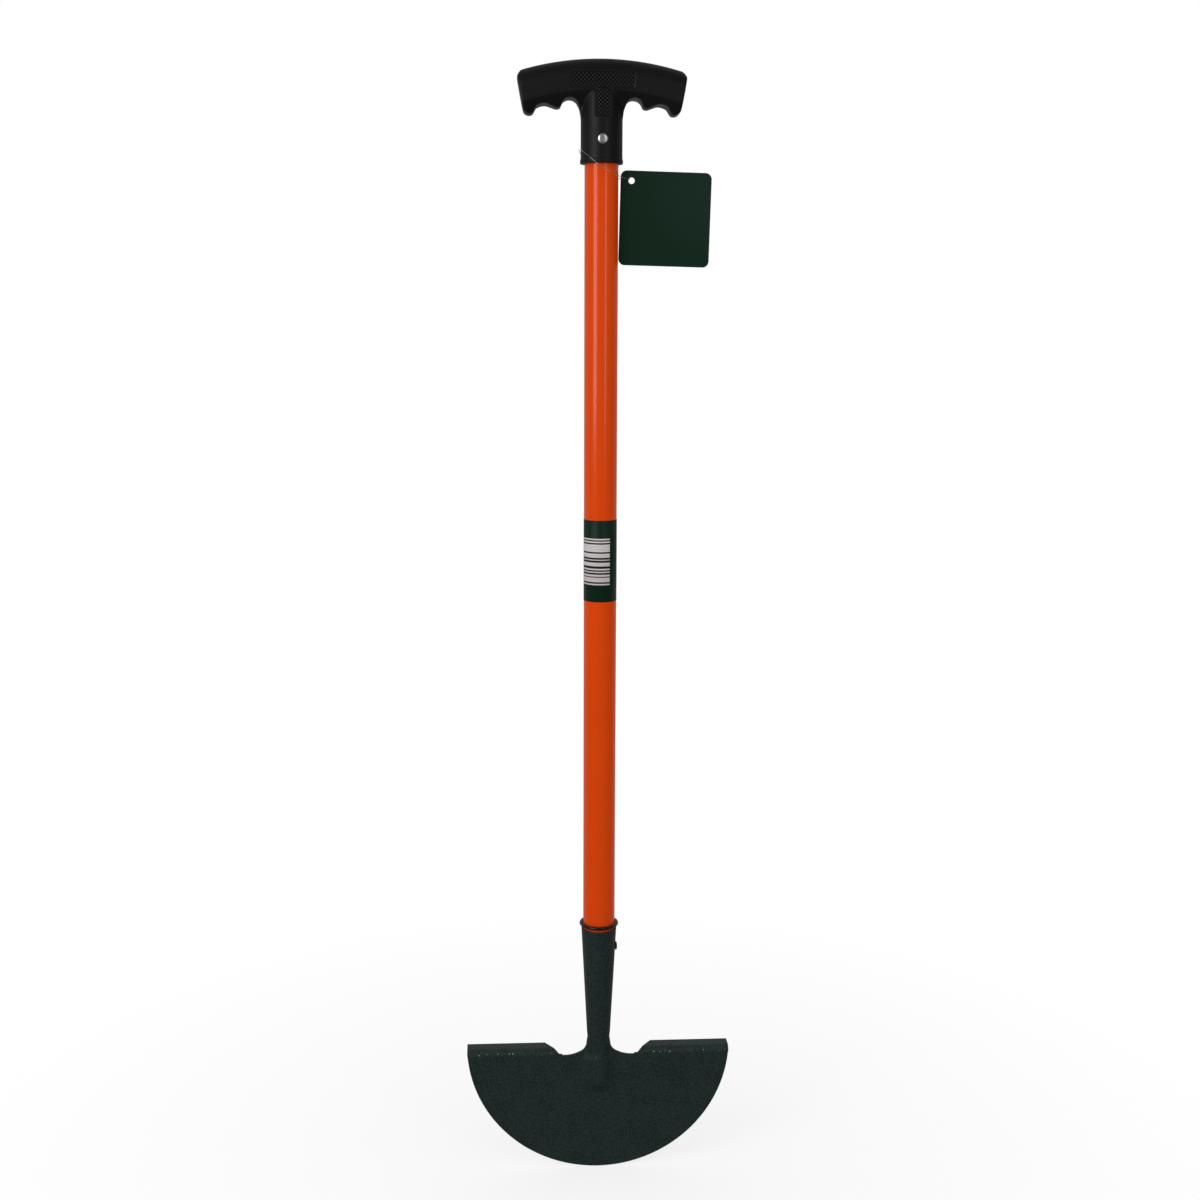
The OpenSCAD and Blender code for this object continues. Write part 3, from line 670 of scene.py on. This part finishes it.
class EDGER_OT_tag_loop(bpy.types.Operator):
    """Nylon filament that ties the card round the grip's neck, and the snap head that closes it"""

    bl_idname = "edger.tag_loop"
    bl_label = "Tag loop"

    # Snap head: its softened edges, and the recess in its back with the rim round it
    head_edge = 0.35 * MM
    head_rim = 0.45 * MM
    head_recess = 0.4 * MM

    def execute(self, context):
        nylon = clear_nylon(context.scene.edger_colours)
        points = [Vector(p) * MM + Vector((0, 0, MOUTH_Z)) for p in LOOP_ROUTE]
        curve = bpy.data.curves.new("nylon_filament", "CURVE")
        curve.dimensions = "3D"
        curve.bevel_depth = LOOP_D / 2
        curve.bevel_resolution = 3
        curve.resolution_u = 6
        curve.use_fill_caps = True
        spline = curve.splines.new("BEZIER")
        spline.bezier_points.add(len(points) - 1)
        for knot, point in zip(spline.bezier_points, points):
            knot.co = point
            knot.handle_left_type = knot.handle_right_type = "AUTO"
        filament = bpy.data.objects.new("nylon_filament", curve)
        context.scene.collection.objects.link(filament)
        curve.materials.append(nylon)
        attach(filament, "loop")
        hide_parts("tag_loop")
        lock = self.snap_head(nylon)
        return {"FINISHED"}

    def snap_head(self, nylon):
        head = start(bpy.ops.mesh.primitive_cube_add, size=1, scale=LOCK_HIGH - LOCK_LOW,
                     location=(LOCK_LOW + LOCK_HIGH) / 2)
        bpy.ops.mesh.bevel(offset=self.head_edge, segments=3)
        # Only the flat back looks straight along Y
        pick("FACE", lambda face: face.normal.y > 0.99)
        bpy.ops.mesh.inset(thickness=self.head_rim)
        push(y=-self.head_recess)
        close_up()
        return finish(head, "snap_head", nylon, "loop", "clear_nylon", "loop_lock")


class EDGER_OT_blade(bpy.types.Operator):
    """Half-round sheet with folded treads, round notches and a back bevel"""

    bl_idname = "edger.blade"
    bl_label = "Blade"

    def execute(self, context):
        rounding = context.scene.edger_sizes.edge_round
        blade = start(bpy.ops.mesh.primitive_circle_add, vertices=240, radius=BLADE_R,
                      fill_type="NGON", location=(0, 0, BLADE_R), rotation=(math.pi / 2, 0, 0))
        cut((0, 0, FOLD_Z), (0, 0, 1), clear_outer=True)
        self.shoulders()
        cut_all(((x, 0, 0), (1, 0, 0)) for x in (-TREAD_FOOT, TREAD_FOOT))
        for side in (-1, 1):
            self.tread(side)
        close_up()
        modify(blade, "SOLIDIFY", thickness=SHEET, offset=0, use_even_offset=True)
        self.grind(blade)
        modify(blade, "BEVEL", width=rounding, segments=3, limit_method="ANGLE",
               angle_limit=math.radians(38))
        coat = hammered_coat(context.scene.edger_colours)
        finish(blade, "blade_sheet", coat, "edger", "green_coat", "blade")
        modify(blade, "WEIGHTED_NORMAL", keep_sharp=True)
        return {"FINISHED"}

    def pick_top(self, test):
        """Selects the stretches of the sheet's straight top edge whose middle passes the test."""
        pick("EDGE", lambda edge: all(abs(v.co.z - FOLD_Z) < NEAR for v in edge.verts)
             and test((edge.verts[0].co.x + edge.verts[1].co.x) / 2))

    def pick_corners(self, *sides):
        """Selects the points where the straight top edge meets the shoulders."""
        pick("VERT", lambda v: abs(v.co.z - FOLD_Z) < NEAR
             and any(abs(v.co.x - side * SHOULDER_X) < NEAR for side in sides))

    def shoulders(self):
        """Redraws the middle of the top edge: up each shoulder and by a sweep into the neck."""
        bpy.ops.mesh.select_all(action="SELECT")
        bpy.ops.mesh.delete(type="ONLY_FACE")
        cut_all(((x, 0, 0), (1, 0, 0)) for x in (-SHOULDER_X, SHOULDER_X))
        self.pick_top(lambda x: abs(x) < SHOULDER_X)
        bpy.ops.mesh.delete(type="EDGE")
        rise = SWEEP_Z - FOLD_Z
        for side in (-1, 1):
            self.pick_corners(side)
            push(x=-side * rise / math.tan(SHOULDER_SLOPE), z=rise)
            bpy.ops.mesh.spin(steps=16, angle=-side * (math.pi / 2 - SHOULDER_SLOPE),
                              center=(side * NOTCH_X, 0, NOTCH_Z), axis=(0, 1, 0))
            push(x=-side * EAR_DRAW, z=SHEET_TOP_Z - NOTCH_Z)
        pick("VERT", lambda v: v.co.z > SHEET_TOP_Z - NEAR)
        bpy.ops.mesh.edge_face_add()
        bpy.ops.mesh.select_all(action="SELECT")
        bpy.ops.mesh.edge_face_add()
        self.pick_corners(-1, 1)
        bpy.ops.mesh.bevel(offset=SHOULDER_ROUND, segments=6, affect="VERTICES")

    def tread(self, side):
        """Folds one top edge back, lengthens it to the tread and slants its inner end."""
        self.pick_top(lambda x: side * x > TREAD_FOOT)
        bpy.ops.mesh.spin(steps=6, angle=math.pi / 2, center=(0, FOLD_MID_R, FOLD_Z),
                          axis=(1, 0, 0))
        push(y=TREAD_BACK - FOLD_MID_R)
        pick("VERT", lambda v: side * v.co.x > FOLD_END_X - CLEAR and v.co.z > FOLD_Z + CLEAR)
        bpy.ops.transform.translate(value=(side * (BLADE_R - FOLD_END_X), 0, 0))
        # Corner and normal of the two cuts at the inner end: the low foot, then the slant
        planes = [(Vector((side * TREAD_FOOT, 0, FOLD_Z)), Vector((-side, 0, FOOT_RUN))),
                  (Vector((side * TREAD_IN, -SHEET / 2, FOLD_Z)),
                   Vector((-side, TREAD_RUN, TREAD_RUN)))]

        def folded(face):
            centre = face.calc_center_median()
            return centre.y > NEAR and side * centre.x > 0

        for corner, inwards in planes:
            pick("FACE", folded)
            cut(corner, inwards)
        pick("FACE", lambda face: folded(face) and all(
            (face.calc_center_median() - corner).dot(inwards) > 0 for corner, inwards in planes))
        bpy.ops.mesh.delete(type="FACE")

    def grind(self, blade):
        """Grinds the bevel on the back of the round edge, to a narrow land at the front."""
        centre = Vector((0, 0, BLADE_R))

        def on_rim(vertex):
            flat = Vector((vertex.co.x, 0, vertex.co.z))
            return (flat - centre).length > BLADE_R - CLEAR and vertex.co.z < FOLD_Z + CLEAR

        edit(blade)
        pick("FACE", lambda face: all(on_rim(v) for v in face.verts))
        cut((0, EDGE_LAND - SHEET / 2, 0), (0, 1, 0))
        pick("VERT", lambda v: on_rim(v) and v.co.y > SHEET / 2 - CLEAR
             and v.co.z < FOLD_Z - CLEAR)
        share = (BLADE_R - EDGE_BEVEL) / BLADE_R
        bpy.ops.transform.resize(value=(share, 1, share), center_override=centre)
        close_up()


class EDGER_OT_socket(bpy.types.Operator):
    """Tapered socket that flows through its welds into the blade"""

    bl_idname = "edger.socket"
    bl_label = "Socket"

    # The ridge on the blade is spread first, because smoothing draws it in again
    ridge_spread = 1.25
    # Height below the sheet's top over which the smoothing sets in
    flow_h = 10 * MM
    flow_rounds = 45
    even_rounds = 3
    # Piece of the sheet that the socket flows into: how far it reaches, and how much thinner it is
    slab_half = 26 * MM
    slab_low_z = RIDGE_LOW_Z - 14 * MM
    slab_thinner = 0.2 * MM

    def execute(self, context):
        sizes = context.scene.edger_sizes
        socket = copy_nodes("socket", "weld_bead")
        edit(socket)
        pick("VERT", lambda v: v.co.z < FOLD_Z)
        bpy.ops.transform.resize(value=(self.ridge_spread, self.ridge_spread, 1),
                                 center_override=(0, 0, 0))
        bpy.ops.object.mode_set(mode="OBJECT")
        slab = self.slab()
        only(socket, slab)
        bpy.ops.object.join()
        modify(socket, "REMESH", mode="VOXEL", voxel_size=sizes.head_voxel)
        low = weigh(socket, lambda co: (SHEET_TOP_Z - co.z) / self.flow_h)
        modify(socket, "SMOOTH", factor=0.5, iterations=self.flow_rounds, vertex_group=low)
        modify(socket, "SMOOTH", factor=0.5, iterations=self.even_rounds)
        coat = bpy.data.materials["hammered_powder_coat"]
        finish(socket, "socket_neck", coat, "edger", "green_coat", "socket", "weld_bead",
               smooth=60)
        return {"FINISHED"}

    def slab(self):
        """Middle of the sheet, thinned to lie inside the blade, its top drawn into the neck."""
        slab = copy_nodes("blade")
        edit(slab)
        cut_all((((self.slab_half, 0, 0), (1, 0, 0)), ((-self.slab_half, 0, 0), (-1, 0, 0)),
                 ((0, 0, self.slab_low_z), (0, 0, -1))), clear_outer=True, use_fill=True)
        bpy.ops.mesh.select_all(action="SELECT")
        bpy.ops.transform.resize(value=(1, 1 - self.slab_thinner / SHEET, 1),
                                 center_override=(0, 0, 0))
        pick("VERT", lambda v: v.co.z > SHEET_TOP_Z - CLEAR)
        bpy.ops.transform.resize(value=(1 - EAR_DRAW / EAR_X, 1, 1), center_override=(0, 0, 0))
        close_up()
        return slab


class EDGER_OT_shaft(bpy.types.Operator):
    """Finishes of the orange cover and of the steel tube and mandrels inside"""

    bl_idname = "edger.shaft"
    bl_label = "Shaft"

    def execute(self, context):
        colours = context.scene.edger_colours
        NODES["shaft_sleeve"].material_slots[0].material = plastic_cover(colours)
        steel = bare_metal(
            "drawn_mild_steel", colours.steel, low=0.5, high=0.75, grain=1.5 * MM)
        for name in ("shaft_tube", "socket_rivet_mandrel", "grip_rivet_mandrel"):
            NODES[name].material_slots[0].material = steel
        return {"FINISHED"}


class EDGER_OT_collar_ring(bpy.types.Operator):
    """Rubber ring stretched round the shaft above the socket"""

    bl_idname = "edger.collar_ring"
    bl_label = "Collar ring"

    cord_sides = 20
    ring_sides = 96

    def execute(self, context):
        half = (RING_HIGH.z - RING_LOW.z) / 2
        centre_r = RING_HIGH.x - half
        centre_z = (RING_HIGH.z + RING_LOW.z) / 2
        turns = [2 * math.pi * k / self.cord_sides for k in range(self.cord_sides)]
        profile = [(max(SHAFT_R, centre_r + half * math.cos(a)), centre_z + half * math.sin(a))
                   for a in turns]
        ring = turned(profile, self.ring_sides)
        finish(ring, "rubber_ring", ring_rubber(context.scene.edger_colours), "edger",
               "black_rubber", "collar_ring", smooth=60)
        return {"FINISHED"}


class EDGER_OT_rivets(bpy.types.Operator):
    """Blind rivets with a rolled head edge, a dome and the hole of the mandrel"""

    bl_idname = "edger.rivets"
    bl_label = "Rivets"

    sides = 48
    shank_r = 2 * MM
    bulb_r = 3 * MM
    bulb_end_r = 0.8 * bulb_r
    bulb_l = 3 * MM
    hole_r = 1.1 * MM
    hole_edge = 0.15 * MM
    head_h = 1.5 * MM
    head_edge_h = 0.3 * MM
    head_edge_in = 0.1 * MM
    dome_degrees = (0, 15, 30, 45, 60, 72)

    def execute(self, context):
        colours = context.scene.edger_colours
        bright = bare_metal(
            "turned_aluminium", colours.aluminium, low=0.26, high=0.4, grain=0.6 * MM)
        low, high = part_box("grip_rivet")
        grip_rivet = self.rivet((high.x - low.x) / 2, high.y - low.y)
        place(grip_rivet, (0, low.y, (low.z + high.z) / 2), (math.pi / 2, 0, 0))
        finish(grip_rivet, "grip_rivet_body", bright, "edger", "bright_rivet", "grip_rivet")
        low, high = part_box("socket_rivet")
        socket_rivet = self.rivet((high.y - low.y) / 2, high.x - low.x)
        place(socket_rivet, (high.x, 0, (low.z + high.z) / 2), (0, math.pi / 2, 0))
        coat = bpy.data.materials["hammered_powder_coat"]
        finish(socket_rivet, "socket_rivet_body", coat, "edger", "green_coat", "socket_rivet")
        return {"FINISHED"}

    def rivet(self, head_r, length):
        """A rivet along Z whose head's top lies at the origin."""
        seat = -self.head_h
        rise = self.head_h - self.head_edge_h
        dome = [(self.hole_r + (head_r - self.hole_r) * math.cos(a),
                 seat + self.head_edge_h + rise * math.sin(a))
                for a in map(math.radians, self.dome_degrees)]
        profile = [(self.hole_r, -length), (self.bulb_end_r, -length),
                   (self.bulb_r, -length + self.bulb_l / 2), (self.shank_r, -length + self.bulb_l),
                   (self.shank_r, seat), (head_r - self.head_edge_in, seat), *dome,
                   (self.hole_r + self.hole_edge, 0), (self.hole_r, -self.hole_edge)]
        return turned(profile, self.sides)


class EDGER_OT_grip(bpy.types.Operator):
    """Moulded T grip with softened edges and knurled panels"""

    bl_idname = "edger.grip"
    bl_label = "Grip"

    soft_rounds = 30
    even_rounds = 2
    # Rim round the panel that stays sharp, and the width over which the softening sets in
    sharp_rim = 1.2 * MM
    soft_fade = 2 * MM
    # The same above the lip
    lip_rim = 1 * MM
    lip_fade = 4 * MM
    # Knurl: cells along the grid it is cut from, that grid's start in front of the grip, the
    # gap round the panel, the clearance over its floor, and the width of a diamond's flank
    knurl_cells = 60
    knurl_from = 30 * MM
    knurl_gap = 0.25 * MM
    knurl_lift = 0.02 * MM
    knurl_flank = 0.4 * MM
    # Share of a cell that is left at the panel's edge and still gets a raised diamond
    knurl_least = 0.3

    def execute(self, context):
        sizes = context.scene.edger_sizes
        colours = context.scene.edger_colours
        black = moulded_grip("moulded_polypropylene", colours.grip, shine=0.25)
        # The diamonds get a higher shine and a lighter black; the lighter black is a painted
        # highlight
        highlighted = moulded_grip("polypropylene_painted_lighter", colours.knurl, shine=0.4)
        grip = copy_nodes("grip")
        modify(grip, "REMESH", mode="VOXEL", voxel_size=sizes.grip_voxel)
        soft = weigh(grip, self.softness)
        modify(grip, "SMOOTH", factor=0.5, iterations=self.soft_rounds, vertex_group=soft)
        modify(grip, "SMOOTH", factor=0.5, iterations=self.even_rounds)
        finish(grip, "grip_moulding", black, "edger", "black_grip", "grip", smooth=60)
        for side, name in ((-1, "knurl_front"), (1, "knurl_back")):
            knurl = self.knurl(grip, side, sizes)
            finish(knurl, name, highlighted, "edger", "black_grip", smooth=20)
            # The raised diamonds are still selected and take the lighter black of the painted
            # highlight; the grooves between keep the grip's black
            knurl.data.materials.append(black)
            for face in knurl.data.polygons:
                face.material_index = 0 if face.select else 1
        return {"FINISHED"}

    def softness(self, co):
        """1 where edges are softened; 0 in the panel and at the lip."""
        bar = max(abs(co.x) - PANEL_HALF, co.z - PANEL_TOP, PANEL_LOW - co.z)
        leg = max(abs(co.x) - LEG_HALF - self.sharp_rim, co.z - PANEL_LOW, LEG_LOW - co.z)
        away = (min(bar, leg) - self.sharp_rim) / self.soft_fade
        lip = (co.z - MOUTH_Z - LIP_H - self.lip_rim) / self.lip_fade
        return min(away, lip)

    def knurl(self, grip, side, sizes):
        """Diamond grid cut to the panel's T, laid on the panel's floor, each diamond raised."""
        cell = sizes.knurl_pitch / math.sqrt(2)
        panel = start(bpy.ops.mesh.primitive_grid_add, x_subdivisions=self.knurl_cells,
                      y_subdivisions=self.knurl_cells, size=self.knurl_cells * cell,
                      rotation=(0, 0, math.pi / 4))
        close_up()
        place(panel, (0, side * self.knurl_from, PANEL_LOW),
              (math.pi / 2, 0, 0 if side < 0 else math.pi))
        edit(panel)
        self.trim()
        close_up()
        modify(panel, "SHRINKWRAP", target=grip, wrap_method="PROJECT", use_project_x=False,
               use_project_y=True, use_project_z=False, use_positive_direction=side < 0,
               use_negative_direction=side > 0, offset=self.knurl_lift, wrap_mode="ABOVE_SURFACE")
        edit(panel)
        bpy.ops.mesh.select_all(action="SELECT")
        bpy.ops.mesh.normals_make_consistent(inside=False)
        pick("FACE", lambda face: face.calc_area() > self.knurl_least * cell * cell)
        bpy.ops.mesh.inset(use_individual=True, thickness=self.knurl_flank,
                           depth=sizes.knurl_height)
        bpy.ops.object.mode_set(mode="OBJECT")
        return panel

    def trim(self):
        """Cuts the grid being edited to the panel's T, a gap inside its outline."""
        half, leg_half = PANEL_HALF - self.knurl_gap, LEG_HALF - self.knurl_gap
        bar_low = PANEL_LOW + self.knurl_gap
        cut_all((((half, 0, 0), (1, 0, 0)), ((-half, 0, 0), (-1, 0, 0)),
                 ((0, 0, PANEL_TOP - self.knurl_gap), (0, 0, 1)),
                 ((0, 0, LEG_LOW + self.knurl_gap), (0, 0, -1))), clear_outer=True)
        cut_all([((0, 0, bar_low), (0, 0, 1))])
        for end in (-1, 1):
            pick("FACE", lambda face: face.calc_center_median().z < bar_low)
            cut((end * leg_half, 0, 0), (end, 0, 0), clear_outer=True)


class EDGER_OT_wrap_label(bpy.types.Operator):
    """Film label wrapped round the shaft, its end lapped over its start at the back"""

    bl_idname = "edger.wrap_label"
    bl_label = "Wrap label"

    sides = 128
    lap = math.radians(16)
    # Share of the film's thickness that the lap stands out by
    lap_out = 0.9

    def execute(self, context):
        film = context.scene.edger_sizes.film
        label = self.band(SHAFT_R, film)
        lap = self.band(SHAFT_R + film * self.lap_out, film)
        edit(lap)
        for side in (-1, 1):
            turn = side * self.lap / 2
            cut_all([((0, 0, 0), (side * math.cos(turn), -side * math.sin(turn), 0))],
                    clear_outer=True, use_fill=True)
        cut_all([((0, 0, 0), (0, -1, 0))], clear_outer=True)
        close_up()
        only(label, lap)
        bpy.ops.object.join()
        finish(label, "label_film", printed_film(context.scene.edger_colours), "edger",
               "label_film", "wrap_label", smooth=50)
        return {"FINISHED"}

    def band(self, inner, film):
        """A closed band of film with softened edges."""
        low, high, soft = LABEL_LOW.z, LABEL_HIGH.z, film / 2
        profile = [(inner, low), (inner + soft, low), (inner + film, low + soft),
                   (inner + film, high - soft), (inner + soft, high), (inner, high)]
        return turned(profile, self.sides)


class EDGER_OT_hang_tag(bpy.types.Operator):
    """Card with rounded corners and a punched hole, hung by the filament"""

    bl_idname = "edger.hang_tag"
    bl_label = "Hang tag"

    def execute(self, context):
        colours = context.scene.edger_colours
        card = start(bpy.ops.mesh.primitive_plane_add, size=1, rotation=(math.pi / 2, 0, 0))
        bpy.ops.transform.resize(value=(TAG_W, 1, TAG_H))
        bpy.ops.transform.translate(
            value=(TAG_W / 2 - TAG_HOLE_SIDE, 0, TAG_HOLE_TOP - TAG_H / 2))
        bpy.ops.mesh.bevel(offset=TAG_CORNER, segments=10, affect="VERTICES")
        bpy.ops.mesh.delete(type="ONLY_FACE")
        bpy.ops.mesh.primitive_circle_add(
            vertices=40, radius=TAG_HOLE_R, rotation=(math.pi / 2, 0, 0))
        bpy.ops.mesh.select_all(action="SELECT")
        bpy.ops.mesh.fill()
        close_up()
        modify(card, "SOLIDIFY", thickness=TAG_T, offset=0)
        place(card, TAG_HOLE, (0, TAG_TILT, 0))
        finish(card, "tag_card", laminated_card(colours), "tag", "tag_card", "hang_tag")
        # The print is on the front and back; the cut edge all round shows the board
        card.data.materials.append(card_core(colours))
        for face in card.data.polygons:
            face.material_index = 0 if abs(face.normal.y) > 0.5 else 1
        return {"FINISHED"}


class EDGER_PT_sidebar(bpy.types.Panel):
    """Lists the pieces and their sizes and colours"""

    bl_label = "Half moon edger"
    bl_idname = "EDGER_PT_sidebar"
    bl_space_type = "VIEW_3D"
    bl_region_type = "UI"
    bl_category = "Edger"

    def draw(self, context):
        for operator in OPERATORS:
            self.layout.operator(operator.bl_idname)
        scene = context.scene
        for group in (scene.edger_colours, scene.edger_sizes, scene.edger_stage):
            for name in group.__annotations__:
                self.layout.prop(group, name)


OPERATORS = (EDGER_OT_stage, EDGER_OT_tag_loop, EDGER_OT_blade, EDGER_OT_socket, EDGER_OT_shaft,
             EDGER_OT_collar_ring, EDGER_OT_rivets, EDGER_OT_grip, EDGER_OT_wrap_label,
             EDGER_OT_hang_tag)
GROUPS = {"edger_colours": EdgerColours, "edger_sizes": EdgerSizes, "edger_stage": EdgerStage}
CLASSES = (*GROUPS.values(), *OPERATORS, EDGER_PT_sidebar)


def register():
    for kind in CLASSES:
        bpy.utils.register_class(kind)
    for name, group in GROUPS.items():
        setattr(bpy.types.Scene, name, bpy.props.PointerProperty(type=group))


def unregister():
    for name in GROUPS:
        delattr(bpy.types.Scene, name)
    for kind in reversed(CLASSES):
        bpy.utils.unregister_class(kind)


def main():
    register()
    bpy.ops.edger.stage()
    bpy.ops.edger.tag_loop()
    bpy.ops.edger.blade()
    bpy.ops.edger.socket()
    bpy.ops.edger.shaft()
    bpy.ops.edger.collar_ring()
    bpy.ops.edger.rivets()
    bpy.ops.edger.grip()
    bpy.ops.edger.wrap_label()
    bpy.ops.edger.hang_tag()


if __name__ == "__main__":
    main()
